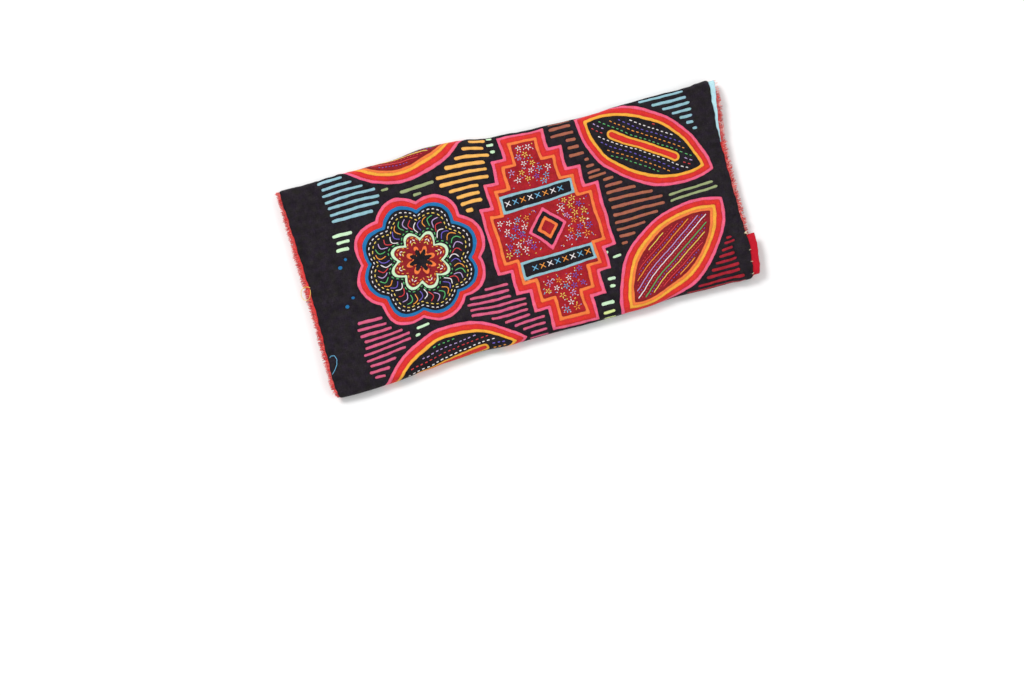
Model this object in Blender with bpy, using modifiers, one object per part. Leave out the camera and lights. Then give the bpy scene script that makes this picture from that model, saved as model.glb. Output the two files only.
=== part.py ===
"""Mola panel: a black face cloth on a red backing, both long sides folded under.

The cloth is described flat, by u along the panel and v across it, in millimetres.
One section, walked from the middle of the front to each free edge, bends it into
the folded shape. Every sheet is an offset of the same section, so the sheets stay
a constant small gap apart. The underside lies on the ground at z = 0.
"""

import bmesh
import bpy
import math
import numpy as np

MM = 0.001

# Sheet thicknesses and the gap between neighbouring sheets, in millimetres.
FACE_THICK = 1.2
LINING_THICK = 1.0
PATCH_THICK = 1.0
SHEET_GAP = 0.3

# The section follows the middle of the lining. These are offsets from it.
FACE_OFFSET = LINING_THICK / 2 + SHEET_GAP + FACE_THICK / 2
PATCH_OFFSET = LINING_THICK / 2 + SHEET_GAP + PATCH_THICK / 2
PATCH_LIFT = PATCH_THICK + SHEET_GAP

# Height of the lining over the middle of the front, and the fold at each long side.
FRONT_HEIGHT = 6.6
FOLD_RADIUS = 3.0
FOLD_TURN = 180.0
RISE_TURN = 5.36
STEP_TURN = 27.7

# Runs of the far half, from the middle of the front to the free edge under it.
# name, length, turn in degrees (up is positive), steps
FAR_RUNS = (
    ("front", 40.0, 0.0, 5),
    ("rise in", 15.0, RISE_TURN, 2),
    ("rise out", 15.0, -RISE_TURN, 2),
    ("brow", 13.0, 0.0, 2),
    ("fold", math.pi * FOLD_RADIUS, -FOLD_TURN, 12),
    ("on the ground", 27.5, 0.0, 3),
    ("step in", 6.24, -STEP_TURN, 3),
    ("step out", 6.24, STEP_TURN, 3),
    ("over the near flap", 68.0, 0.0, 5),
)

# Runs of the near half.
# name, length, turn in degrees (up is positive), steps
NEAR_RUNS = (
    ("front", 40.0, 0.0, 5),
    ("rise in", 15.0, RISE_TURN, 6),
    ("rise out", 15.0, -RISE_TURN, 2),
    ("brow", 13.0, 0.0, 2),
    ("fold", math.pi * FOLD_RADIUS, -FOLD_TURN, 12),
    ("on the ground", 121.0, 0.0, 8),
)

# Where the face cloth ends, and how far the lining sticks out past it.
# v, left end, right end, lining out at left, lining out at right
CLOTH_ENDS = (
    (-220.0, -172.0, 166.0, 0.4, 0.4),
    (-110.0, -173.5, 168.0, 0.6, 0.6),
    (-92.0, -175.4, 168.6, 1.2, 0.9),
    (-80.0, -179.3, 172.6, 2.6, 1.2),
    (-60.0, -178.8, 175.9, 3.0, 1.4),
    (-30.0, -178.0, 176.5, 3.6, 2.8),
    (0.0, -177.8, 178.0, 4.2, 3.0),
    (30.0, -178.9, 179.4, 4.0, 4.0),
    (45.0, -179.4, 180.1, 3.5, 5.4),
    (60.0, -179.9, 181.9, 3.0, 6.6),
    (84.0, -181.0, 185.1, 2.4, 7.6),
    (97.0, -179.2, 184.6, 1.8, 5.4),
    (115.0, -174.5, 175.0, 0.8, 1.0),
    (220.0, -172.0, 171.0, 0.4, 0.4),
)

# How far the two folds lie out from their even lines at 88 mm.
# x, far fold, near fold
FOLD_WANDER = (
    (-182.0, 3.2, 2.4),
    (-160.0, 2.6, 2.8),
    (-138.0, 3.8, 2.2),
    (-105.0, 3.0, -0.6),
    (-88.0, 2.7, -2.2),
    (-58.0, 5.8, -3.6),
    (-32.0, 5.0, -1.8),
    (0.0, -0.4, -2.1),
    (35.0, -2.7, -1.4),
    (77.0, -4.0, -1.3),
    (107.0, -2.9, -3.3),
    (138.0, -2.6, -2.2),
    (177.0, -3.2, -2.0),
    (190.0, -2.8, -2.0),
)

# Soft ridges and troughs that run over the front.
# x and y at one end, x and y at the other, half width, height
SOFT_RIDGES = (
    (-120.0, 70.0, -100.0, -75.0, 16.0, 0.7),
    (-66.0, 88.0, -48.0, 10.0, 15.0, 1.0),
    (-20.0, 60.0, -8.0, -80.0, 12.0, -0.4),
    (28.0, 84.0, 50.0, -60.0, 18.0, 0.9),
    (96.0, 30.0, 118.0, -84.0, 17.0, 1.1),
    (140.0, 84.0, 150.0, 0.0, 15.0, 0.6),
    (-160.0, -20.0, -40.0, -46.0, 14.0, -0.5),
    (60.0, -44.0, 170.0, -50.0, 12.0, -0.5),
)

# The ridges fade out over this length, which ends this far past the fold's start.
RIDGE_FADE = 14.0
RIDGE_PAST = 1.0

# Coloured cloth between face and lining, showing past the face at the right end.
# name, v from, v to, width under the face, out at v from, out at v to
PATCHES = (
    ("blue_patch", 32.0, 86.0, 8.0, 0.8, 5.2),
    ("red_patch", -86.14, -52.5, 8.0, 6.0, 6.6),
)
# The face rises beside a patch over these lengths, and has this much room there.
RAMP_U = 6.0
RAMP_V = 5.4
ROOM_U = 2.0

# Places along the panel where each sheet has a row of corners, as shares of its
# length, closer together at the right end where the patches lift the face.
EVEN_ROWS = 19
LAST_EVEN_SHARE = 0.945
END_SHARES = (0.961, 0.967, 0.973, 0.978, 0.989, 1.0)
PATCH_ROWS_OUT = 2
PATCH_ROWS_UNDER = 2
# A patch has no row of corners nearer to its ends than this.
PATCH_ROW_CLEAR = 1.0

NORMAL_STEP = 0.05

# sheet, colour, roughness
LOOKS = {
    "face_cloth": ((0.020, 0.017, 0.024), 0.9),
    "lining": ((0.62, 0.09, 0.06), 0.9),
    "blue_patch": ((0.26, 0.58, 0.68), 0.85),
    "red_patch": ((0.68, 0.02, 0.03), 0.85),
}


def clear_scene():
    """Remove what a new file holds."""
    for thing in list(bpy.data.objects):
        bpy.data.objects.remove(thing, do_unlink=True)


def column(table, place, which):
    """One column of a table, read at the wanted places of its first column."""
    keys = [row[0] for row in table]
    values = [row[which] for row in table]
    return np.interp(place, keys, values)


def smooth(share):
    """An S curve from 0 to 1."""
    held = np.clip(share, 0.0, 1.0)
    return held * held * (3.0 - 2.0 * held)


def soft_column(table, place, which):
    """One column of a table, with no kinks where its rows meet."""
    keys = np.array([row[0] for row in table])
    values = np.array([row[which] for row in table])
    first = np.clip(np.searchsorted(keys, place) - 1, 0, len(keys) - 2)
    share = smooth((place - keys[first]) / (keys[first + 1] - keys[first]))
    return values[first] + share * (values[first + 1] - values[first])


def walk(runs, distance):
    """Across and height on one half of the section, at a distance from its middle."""
    across = np.zeros_like(distance)
    height = np.full_like(distance, FRONT_HEIGHT)
    start = 0.0
    at_y = 0.0
    at_z = FRONT_HEIGHT
    heading = 0.0
    for _, length, turn, _ in runs:
        bend = math.radians(turn)
        along = np.clip(distance - start, 0.0, length)
        inside = distance >= start
        if turn == 0.0:
            run_y = along * math.cos(heading)
            run_z = along * math.sin(heading)
            end_y = length * math.cos(heading)
            end_z = length * math.sin(heading)
        else:
            radius = length / bend
            angle = heading + along / radius
            run_y = radius * (np.sin(angle) - math.sin(heading))
            run_z = radius * (math.cos(heading) - np.cos(angle))
            end_y = radius * (math.sin(heading + bend) - math.sin(heading))
            end_z = radius * (math.cos(heading) - math.cos(heading + bend))
        across = np.where(inside, at_y + run_y, across)
        height = np.where(inside, at_z + run_z, height)
        start += length
        at_y += end_y
        at_z += end_z
        heading += bend
    return across, height


def front_length(runs):
    """How far from the middle the fold begins."""
    total = 0.0
    for name, length, _, _ in runs:
        if name == "fold":
            return total
        total += length
    return total


FOLD_START = front_length(FAR_RUNS)


def ridges(x, y):
    """Height of the soft ridges over one place of the front."""
    total = np.zeros_like(x)
    for x0, y0, x1, y1, width, height in SOFT_RIDGES:
        run_x = x1 - x0
        run_y = y1 - y0
        share = ((x - x0) * run_x + (y - y0) * run_y) / (run_x ** 2 + run_y ** 2)
        held = np.clip(share, 0.0, 1.0)
        away = np.hypot(x - x0 - held * run_x, y - y0 - held * run_y)
        total = total + height * np.exp(-((away / width) ** 2))
    return total


def reference(u, v):
    """The lining's middle at the flat place u, v: arrays of x, y and z."""
    far_y, far_z = walk(FAR_RUNS, np.abs(v))
    near_y, near_z = walk(NEAR_RUNS, np.abs(v))
    y = np.where(v >= 0.0, far_y, -near_y)
    z = np.where(v >= 0.0, far_z, near_z)
    side = smooth(np.abs(v) / FOLD_START)
    far_out = soft_column(FOLD_WANDER, u, 1)
    near_out = soft_column(FOLD_WANDER, u, 2)
    wander = np.where(v >= 0.0, far_out, -near_out)
    on_front = smooth((FOLD_START + RIDGE_PAST - np.abs(v)) / RIDGE_FADE)
    z = z + ridges(u, y) * on_front
    y = y + wander * side
    return np.stack([u, y, z], axis=-1)


def surface(u, v, offset):
    """Points at an offset from the lining's middle, outward to the face side."""
    here = reference(u, v)
    along = reference(u + NORMAL_STEP, v) - reference(u - NORMAL_STEP, v)
    over = reference(u, v + NORMAL_STEP) - reference(u, v - NORMAL_STEP)
    normal = np.cross(along, over)
    normal = normal / np.linalg.norm(normal, axis=-1, keepdims=True)
    return here + normal * np.asarray(offset)[..., None]


def patch_lift(u, v):
    """How far the patches push the face away from the lining."""
    total = np.zeros_like(u)
    for _, v_from, v_to, under, _, _ in PATCHES:
        end = column(CLOTH_ENDS, v, 2)
        in_u = smooth((u - (end - under - ROOM_U - RAMP_U)) / RAMP_U)
        in_v = smooth((v - v_from) / RAMP_V + 1.0) * smooth((v_to - v) / RAMP_V + 1.0)
        total = np.maximum(total, PATCH_LIFT * in_u * in_v)
    return total


def rows_across():
    """The v of each row of corners, from the near free edge to the far one."""
    places = [0.0]
    for sign, runs in ((-1.0, NEAR_RUNS), (1.0, FAR_RUNS)):
        start = 0.0
        for _, length, _, steps in runs:
            for step in range(1, steps + 1):
                places.append(sign * (start + length * step / steps))
            start += length
    return np.array(sorted(places))


def sheet(name, points, thick, parts):
    """A solid sheet: a grid of points, thickened evenly to both sides."""
    rows, columns = points.shape[:2]
    mesh = bpy.data.meshes.new(name)
    build = bmesh.new()
    corners = [build.verts.new(point * MM) for point in points.reshape(-1, 3)]
    for i in range(rows - 1):
        for j in range(columns - 1):
            first = i * columns + j
            ring = (first, first + 1, first + columns + 1, first + columns)
            build.faces.new([corners[k] for k in ring])
    build.normal_update()
    build.to_mesh(mesh)
    build.free()
    cloth = bpy.data.objects.new(name, mesh)
    parts.objects.link(cloth)
    solid = cloth.modifiers.new("thickness", "SOLIDIFY")
    solid.thickness = thick * MM
    solid.offset = 0.0
    solid.use_even_offset = True
    solid.use_quality_normals = True
    colour, rough = LOOKS[name]
    look = bpy.data.materials.new(name)
    look.use_nodes = True
    shader = look.node_tree.nodes["Principled BSDF"]
    shader.inputs["Base Color"].default_value = (*colour, 1.0)
    shader.inputs["Roughness"].default_value = rough
    mesh.materials.append(look)
    return cloth


def cloth_grid(out_left, out_right):
    """Flat places of a full sheet, with what it has past the face's ends."""
    even = np.linspace(0.0, LAST_EVEN_SHARE, EVEN_ROWS)
    shares = np.concatenate([even, np.array(END_SHARES)])
    across = rows_across()
    left = column(CLOTH_ENDS, across, 1) - out_left * column(CLOTH_ENDS, across, 3)
    right = column(CLOTH_ENDS, across, 2) + out_right * column(CLOTH_ENDS, across, 4)
    share, v = np.meshgrid(shares, across)
    u = left[:, None] + share * (right - left)[:, None]
    return u, v


def patch_grid(row):
    """Flat places of one patch strip along the face's right end."""
    _, v_from, v_to, under, out_from, out_to = row
    first = v_from + PATCH_ROW_CLEAR
    last = v_to - PATCH_ROW_CLEAR
    between = [v for v in rows_across() if first < v < last]
    across = np.array([v_from] + between + [v_to])
    end = column(CLOTH_ENDS, across, 2)
    out = np.interp(across, (v_from, v_to), (out_from, out_to))
    inner = np.linspace(-1.0, 0.0, PATCH_ROWS_UNDER + 1)[:, None] * under
    outer = np.linspace(0.0, 1.0, PATCH_ROWS_OUT + 1)[1:, None]
    columns = [end + row_in for row_in in inner] + [end + share * out for share in outer]
    u = np.stack(columns, axis=-1)
    v = np.repeat(across[:, None], u.shape[1], axis=1)
    return u, v


def build_panel():
    """All the sheets of the panel."""
    clear_scene()
    parts = bpy.data.collections.new("mola_panel")
    bpy.context.scene.collection.children.link(parts)

    u, v = cloth_grid(0.0, 0.0)
    sheet("face_cloth", surface(u, v, FACE_OFFSET + patch_lift(u, v)), FACE_THICK, parts)

    u, v = cloth_grid(1.0, 1.0)
    sheet("lining", surface(u, v, np.zeros_like(u)), LINING_THICK, parts)

    for row in PATCHES:
        u, v = patch_grid(row)
        offset = np.full_like(u, PATCH_OFFSET)
        sheet(row[0], surface(u, v, offset), PATCH_THICK, parts)


build_panel()
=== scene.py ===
"""Looks of the folded mola panel: layered cloth, slits, stitches, fraying and weave.

Everything is laid out flat, in millimetres, with u along the panel and w across the
face, and is then bent over the same section as the CAD solids.
"""

import math

import bpy
import numpy as np
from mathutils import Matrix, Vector


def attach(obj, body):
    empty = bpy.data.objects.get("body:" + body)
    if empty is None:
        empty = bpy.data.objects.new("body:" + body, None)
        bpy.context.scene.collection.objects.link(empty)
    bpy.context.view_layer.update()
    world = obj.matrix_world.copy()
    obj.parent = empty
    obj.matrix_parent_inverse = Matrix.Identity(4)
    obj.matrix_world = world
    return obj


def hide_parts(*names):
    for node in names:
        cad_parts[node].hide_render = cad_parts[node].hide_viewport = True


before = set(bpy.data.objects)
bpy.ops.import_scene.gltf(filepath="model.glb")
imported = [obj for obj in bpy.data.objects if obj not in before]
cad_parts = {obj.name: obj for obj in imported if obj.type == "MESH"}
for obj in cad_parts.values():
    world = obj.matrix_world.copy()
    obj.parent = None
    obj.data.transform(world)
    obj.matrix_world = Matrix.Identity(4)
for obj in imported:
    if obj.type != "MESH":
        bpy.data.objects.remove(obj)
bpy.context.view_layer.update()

MM = 0.001

# The folded section, with the same names and values as the CAD source
FACE_THICK = 1.2
LINING_THICK = 1.0
PATCH_THICK = 1.0
SHEET_GAP = 0.3
FACE_OFFSET = LINING_THICK / 2 + SHEET_GAP + FACE_THICK / 2
PATCH_OFFSET = LINING_THICK / 2 + SHEET_GAP + PATCH_THICK / 2
PATCH_LIFT = PATCH_THICK + SHEET_GAP
OUTSIDE = FACE_OFFSET + FACE_THICK / 2
FRONT_HEIGHT = 6.6
FOLD_RADIUS = 3.0
FOLD_TURN = 180.0
RISE_TURN = 5.36
STEP_TURN = 27.7
# name, length, turn in degrees (up is positive)
FRONT_RUNS = (
    ("front", 40.0, 0.0),
    ("rise in", 15.0, RISE_TURN),
    ("rise out", 15.0, -RISE_TURN),
    ("brow", 13.0, 0.0),
)
FOLD_LENGTH = math.pi * FOLD_RADIUS
FOLD_RUN = ("fold", FOLD_LENGTH, -FOLD_TURN)
FAR_RUNS = (
    *FRONT_RUNS,
    FOLD_RUN,
    ("on the ground", 27.5, 0.0),
    ("step in", 6.24, -STEP_TURN),
    ("step out", 6.24, STEP_TURN),
    ("over the near flap", 68.0, 0.0),
)
NEAR_RUNS = (*FRONT_RUNS, FOLD_RUN, ("on the ground", 121.0, 0.0))
# v, left end, right end, lining out at left, lining out at right
CLOTH_ENDS = (
    (-220.0, -172.0, 166.0, 0.4, 0.4),
    (-110.0, -173.5, 168.0, 0.6, 0.6),
    (-92.0, -175.4, 168.6, 1.2, 0.9),
    (-80.0, -179.3, 172.6, 2.6, 1.2),
    (-60.0, -178.8, 175.9, 3.0, 1.4),
    (-30.0, -178.0, 176.5, 3.6, 2.8),
    (0.0, -177.8, 178.0, 4.2, 3.0),
    (30.0, -178.9, 179.4, 4.0, 4.0),
    (45.0, -179.4, 180.1, 3.5, 5.4),
    (60.0, -179.9, 181.9, 3.0, 6.6),
    (84.0, -181.0, 185.1, 2.4, 7.6),
    (97.0, -179.2, 184.6, 1.8, 5.4),
    (115.0, -174.5, 175.0, 0.8, 1.0),
    (220.0, -172.0, 171.0, 0.4, 0.4),
)
# x, far fold, near fold
FOLD_WANDER = (
    (-182.0, 3.2, 2.4),
    (-160.0, 2.6, 2.8),
    (-138.0, 3.8, 2.2),
    (-105.0, 3.0, -0.6),
    (-88.0, 2.7, -2.2),
    (-58.0, 5.8, -3.6),
    (-32.0, 5.0, -1.8),
    (0.0, -0.4, -2.1),
    (35.0, -2.7, -1.4),
    (77.0, -4.0, -1.3),
    (107.0, -2.9, -3.3),
    (138.0, -2.6, -2.2),
    (177.0, -3.2, -2.0),
    (190.0, -2.8, -2.0),
)
# x and y at one end, x and y at the other, half width, height
SOFT_RIDGES = (
    (-120.0, 70.0, -100.0, -75.0, 16.0, 0.7),
    (-66.0, 88.0, -48.0, 10.0, 15.0, 1.0),
    (-20.0, 60.0, -8.0, -80.0, 12.0, -0.4),
    (28.0, 84.0, 50.0, -60.0, 18.0, 0.9),
    (96.0, 30.0, 118.0, -84.0, 17.0, 1.1),
    (140.0, 84.0, 150.0, 0.0, 15.0, 0.6),
    (-160.0, -20.0, -40.0, -46.0, 14.0, -0.5),
    (60.0, -44.0, 170.0, -50.0, 12.0, -0.5),
)
RIDGE_FADE = 14.0
RIDGE_PAST = 1.0
# name, v from, v to, width under the face, out at v from, out at v to
PATCHES = (
    ("blue_patch", 32.0, 86.0, 8.0, 0.8, 5.2),
    ("red_patch", -86.14, -52.5, 8.0, 6.0, 6.6),
)
RAMP_U = 6.0
RAMP_V = 5.4
ROOM_U = 2.0
NORMAL_STEP = 0.05
FOLD_START = sum(row[1] for row in FRONT_RUNS)
FACE_FOLD_LENGTH = math.pi * (FOLD_RADIUS + OUTSIDE)


def smooth(share):
    """An S curve from 0 to 1."""
    held = np.clip(share, 0.0, 1.0)
    return held * held * (3.0 - 2.0 * held)


def column(table, place, which):
    """One column of a table, read at the wanted places of its first column."""
    return np.interp(place, [row[0] for row in table], [row[which] for row in table])


def between(keys, place):
    """Number of the last key before a place, and the share of the way to the next."""
    first = np.clip(np.searchsorted(keys, place) - 1, 0, len(keys) - 2)
    share = (place - keys[first]) / (keys[first + 1] - keys[first])
    return first, np.clip(share, 0.0, 1.0)


def soft_column(table, place, which):
    """One column of a table, with no kinks where its rows meet."""
    keys = np.array([row[0] for row in table])
    values = np.array([row[which] for row in table])
    first, share = between(keys, place)
    return values[first] + smooth(share) * (values[first + 1] - values[first])


def walk(runs, distance):
    """Across and height on one half of the section, at a distance from its middle."""
    across = np.zeros_like(distance)
    height = np.full_like(distance, FRONT_HEIGHT)
    start = 0.0
    at_y = 0.0
    at_z = FRONT_HEIGHT
    heading = 0.0
    for _, length, turn in runs:
        bend = math.radians(turn)
        along = np.clip(distance - start, 0.0, length)
        inside = distance >= start
        if turn == 0.0:
            run_y = along * math.cos(heading)
            run_z = along * math.sin(heading)
            end_y = length * math.cos(heading)
            end_z = length * math.sin(heading)
        else:
            radius = length / bend
            angle = heading + along / radius
            run_y = radius * (np.sin(angle) - math.sin(heading))
            run_z = radius * (math.cos(heading) - np.cos(angle))
            end_y = radius * (math.sin(heading + bend) - math.sin(heading))
            end_z = radius * (math.cos(heading) - math.cos(heading + bend))
        across = np.where(inside, at_y + run_y, across)
        height = np.where(inside, at_z + run_z, height)
        start += length
        at_y += end_y
        at_z += end_z
        heading += bend
    return across, height


def ridges(x, y):
    """Height of the soft ridges over one place of the front."""
    total = np.zeros_like(x)
    for x0, y0, x1, y1, width, height in SOFT_RIDGES:
        run_x, run_y = x1 - x0, y1 - y0
        share = ((x - x0) * run_x + (y - y0) * run_y) / (run_x ** 2 + run_y ** 2)
        held = np.clip(share, 0.0, 1.0)
        away = np.hypot(x - x0 - held * run_x, y - y0 - held * run_y)
        total = total + height * np.exp(-((away / width) ** 2))
    return total


def reference(u, v):
    """The lining's middle at the flat place u, v."""
    far_y, far_z = walk(FAR_RUNS, np.abs(v))
    near_y, near_z = walk(NEAR_RUNS, np.abs(v))
    y = np.where(v >= 0.0, far_y, -near_y)
    z = np.where(v >= 0.0, far_z, near_z)
    side = smooth(np.abs(v) / FOLD_START)
    wander = np.where(v >= 0.0, soft_column(FOLD_WANDER, u, 1), -soft_column(FOLD_WANDER, u, 2))
    on_front = smooth((FOLD_START + RIDGE_PAST - np.abs(v)) / RIDGE_FADE)
    z = z + ridges(u, y) * on_front
    y = y + wander * side
    return np.stack([u, y, z], axis=-1)


def surface(u, v, offset):
    """Points at an offset from the lining's middle, outward to the face side."""
    here = reference(u, v)
    along = reference(u + NORMAL_STEP, v) - reference(u - NORMAL_STEP, v)
    over = reference(u, v + NORMAL_STEP) - reference(u, v - NORMAL_STEP)
    normal = np.cross(along, over)
    normal = normal / np.linalg.norm(normal, axis=-1, keepdims=True)
    return here + normal * np.asarray(offset)[..., None]


def patch_lift(u, v):
    """How far the patches push the face away from the lining."""
    total = np.zeros_like(u)
    for _, v_from, v_to, under, _, _ in PATCHES:
        end = column(CLOTH_ENDS, v, 2)
        in_u = smooth((u - (end - under - ROOM_U - RAMP_U)) / RAMP_U)
        in_v = smooth((v - v_from) / RAMP_V + 1.0) * smooth((v_to - v) / RAMP_V + 1.0)
        total = np.maximum(total, PATCH_LIFT * in_u * in_v)
    return total


FAR_V = sum(row[1] for row in FAR_RUNS)
NEAR_V = sum(row[1] for row in NEAR_RUNS)
FOLD_GROWTH = FACE_FOLD_LENGTH - FOLD_LENGTH
FAR_W = FAR_V + FOLD_GROWTH
NEAR_W = NEAR_V + FOLD_GROWTH
# Further across than any cloth reaches
PAST_ALL = 400.0


def v_of_w(w):
    """From a distance across the face cloth to one across the lining."""
    knots_w = (0.0, FOLD_START, FOLD_START + FACE_FOLD_LENGTH, PAST_ALL + FOLD_GROWTH)
    knots_v = (0.0, FOLD_START, FOLD_START + FOLD_LENGTH, PAST_ALL)
    return np.sign(w) * np.interp(np.abs(w), knots_w, knots_v)


# Puckers between the stitched edges: wave number along u and across, phase, height in mm
PUCKERS = (
    (0.21, 0.33, 0.4, 0.12),
    (-0.37, 0.19, 1.9, 0.1),
    (0.52, -0.11, 4.1, 0.08),
    (0.09, 0.61, 2.6, 0.07),
    (0.73, 0.47, 5.2, 0.05),
    (-0.58, 0.66, 0.9, 0.05),
)
# The puckers bend as they run across: reach in mm, wave number along u
PUCKER_BEND = 3.0
BEND_WAVE = 0.07
FRONT_PAST = 12.0
FRONT_FADE = 10.0
# Share of the relief that is left on the hidden flaps, and its limit in mm towards them
FLAP_RELIEF = 0.45
FLAP_LIMIT = 0.25


def waves(table, u, w, bend=0.0):
    """Waves added up; they may bend as they run across."""
    total = np.zeros_like(u)
    for wave_u, wave_w, phase, reach in table:
        bent = w + bend * np.sin(u * BEND_WAVE + phase)
        total = total + reach * np.sin(wave_u * u + wave_w * bent + phase)
    return total


def on_the_front(w):
    """1 on the front and 0 on the hidden flaps."""
    return smooth((FOLD_START + FRONT_PAST - np.abs(w)) / FRONT_FADE)


def face_points(u, w, height):
    """Points of the face side: height is over the CAD face's outer skin."""
    v = v_of_w(w)
    front = on_the_front(w)
    rise = height * (FLAP_RELIEF + (1.0 - FLAP_RELIEF) * front) + waves(PUCKERS, u, w, PUCKER_BEND) * front
    rise = np.where(front < 1.0, np.minimum(rise, FLAP_LIMIT * front), rise)
    return surface(u, v, OUTSIDE + patch_lift(u, v) + rise)


# Cut by hand, outlines wander: wave number along u and across, phase, reach in mm
HAND_U = ((0.11, 0.05, 1.0, 0.6), (-0.13, 0.23, 2.2, 0.3), (0.61, 0.37, 0.3, 0.12), (0.9, -0.8, 4.0, 0.1))
HAND_W = ((0.045, -0.1, 3.1, 0.7), (0.17, 0.09, 0.7, 0.2), (-0.43, 0.58, 1.9, 0.1), (0.8, 0.9, 2.0, 0.09))


def pairs(u, w):
    """Flat places from their distances along and across."""
    return np.stack([u, w], axis=-1)


def by_hand(path):
    """A drawn path, as the hand lays it."""
    path = np.asarray(path, dtype=float)
    u = path[:, 0]
    w = path[:, 1]
    return pairs(u - waves(HAND_U, u, w), w - waves(HAND_W, u, w))


# Flat outlines as signed distances
def box(u, w, at_u, at_w, half_u, half_w, turn=0.0, corner=0.0):
    cos, sin = math.cos(math.radians(turn)), math.sin(math.radians(turn))
    du, dw = u - at_u, w - at_w
    a = np.abs(du * cos + dw * sin) - (half_u - corner)
    b = np.abs(-du * sin + dw * cos) - (half_w - corner)
    outside = np.hypot(np.maximum(a, 0.0), np.maximum(b, 0.0))
    return outside + np.minimum(np.maximum(a, b), 0.0) - corner


def leaf_frame(row):
    """Middle, direction and half length of a leaf."""
    u0, w0, u1, w1 = row[:4]
    half = math.hypot(u1 - u0, w1 - w0) / 2
    return (u0 + u1) / 2, (w0 + w1) / 2, (u1 - u0) / (2 * half), (w1 - w0) / (2 * half), half


def in_leaf(u, w, row):
    """Distances along a leaf and across it, from its middle."""
    middle_u, middle_w, along_u, along_w, _ = leaf_frame(row)
    s = (u - middle_u) * along_u + (w - middle_w) * along_w
    t = -(u - middle_u) * along_w + (w - middle_w) * along_u
    return s, t


def from_leaf(row, s, t):
    """Flat places from distances along a leaf and across it."""
    middle_u, middle_w, along_u, along_w, _ = leaf_frame(row)
    return pairs(middle_u + s * along_u - t * along_w, middle_w + s * along_w + t * along_u)


def arc_radius(half, bulge):
    """Radius of the arc through both tips of a leaf."""
    return (half * half + bulge * bulge) / (2 * bulge)


def arc_height(s, half, bulge):
    """How far an arc through both tips stands off the line between them."""
    radius = arc_radius(half, bulge)
    return np.sqrt(np.maximum(radius * radius - s * s, 0.0)) - (radius - bulge)


def middle_line(row, s):
    """How far a leaf's middle line stands off the line between its tips."""
    half = leaf_frame(row)[-1]
    return (arc_height(s, half, row[4]) - arc_height(s, half, row[5])) / 2


def leaf(u, w, row):
    """A pointed leaf from tip to tip, with its own bulge to each side."""
    s, t = in_leaf(u, w, row)
    sides = []
    for bulge, sign in zip(row[4:6], (1.0, -1.0)):
        radius = arc_radius(leaf_frame(row)[-1], bulge)
        sides.append(np.hypot(s, sign * t - (bulge - radius)) - radius)
    return np.maximum(*sides)


# Shrinks the distance to a rosette, because its petals' sides slant
PETAL_SLANT = 0.97


def rosette_radius(angle, row):
    _, _, radius, lobes, depth, turn = row
    return radius * (1.0 + depth * np.abs(np.cos(lobes * (angle - math.radians(turn)) / 2)) - depth)


def rosette(u, w, row):
    angle = np.arctan2(w - row[1], u - row[0])
    away = np.hypot(u - row[0], w - row[1])
    return (away - rosette_radius(angle, row)) * PETAL_SLANT


# The design: plain geometric and leaf motifs of the craft
# tip u and w, tip u and w, bulge to the left, bulge to the right, 1 where striped
LEAVES = (
    (78.0, 80.0, 158.0, 17.0, 21.0, 25.0, 0),
    (69.0, -84.0, 156.0, -22.0, 23.0, 21.0, 1),
    (-128.0, 107.0, -34.0, 91.0, 17.0, 24.0, 1),
    (-133.0, -98.0, -32.0, -87.0, 23.0, 17.0, 0),
    (98.0, 122.0, 14.0, 192.0, 20.0, 18.0, 0),
    (-132.0, 146.0, -28.0, 178.0, 21.0, 18.0, 0),
    (42.0, -202.0, 138.0, -144.0, 20.0, 20.0, 0),
    (-48.0, -142.0, -140.0, -192.0, 18.0, 21.0, 1),
)
# centre u and w, radius, lobes, depth of the dips between them, turn
ROSETTES = (
    (-85.0, 1.0, 46.0, 8, 0.15, 11.0),
    (124.0, 168.0, 27.0, 8, 0.15, 0.0),
)
# centre u and w, step along, step across, steps
STEPPED = (
    (22.0, -1.0, 10.2, 19.4, 4),
    (0.0, -158.0, 8.0, 12.6, 3),
)
PINK_OUT = 9.4
ORANGE_RED_OUT = 6.9
INNER_OUT = 2.5
BLUE_OUT = 2.9
MOTIF_CLEAR = PINK_OUT + 2.6


def stepped(u, w, row):
    """A diamond with stepped sides, as nested boxes with square corners."""
    at_u, at_w, step_u, step_w, steps = row
    boxes = []
    for k in range(steps):
        over_u = np.abs(u - at_u) - step_u * (steps - k)
        over_w = np.abs(w - at_w) - step_w * (k + 1)
        boxes.append(np.maximum(over_u, over_w))
    return np.minimum.reduce(boxes)


def motif_at(u, w):
    """Distance to the nearest motif's core."""
    near = [leaf(u, w, row) for row in LEAVES]
    near += [rosette(u, w, row) for row in ROSETTES]
    near += [stepped(u, w, row) for row in STEPPED]
    return np.minimum.reduce(near)


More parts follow.
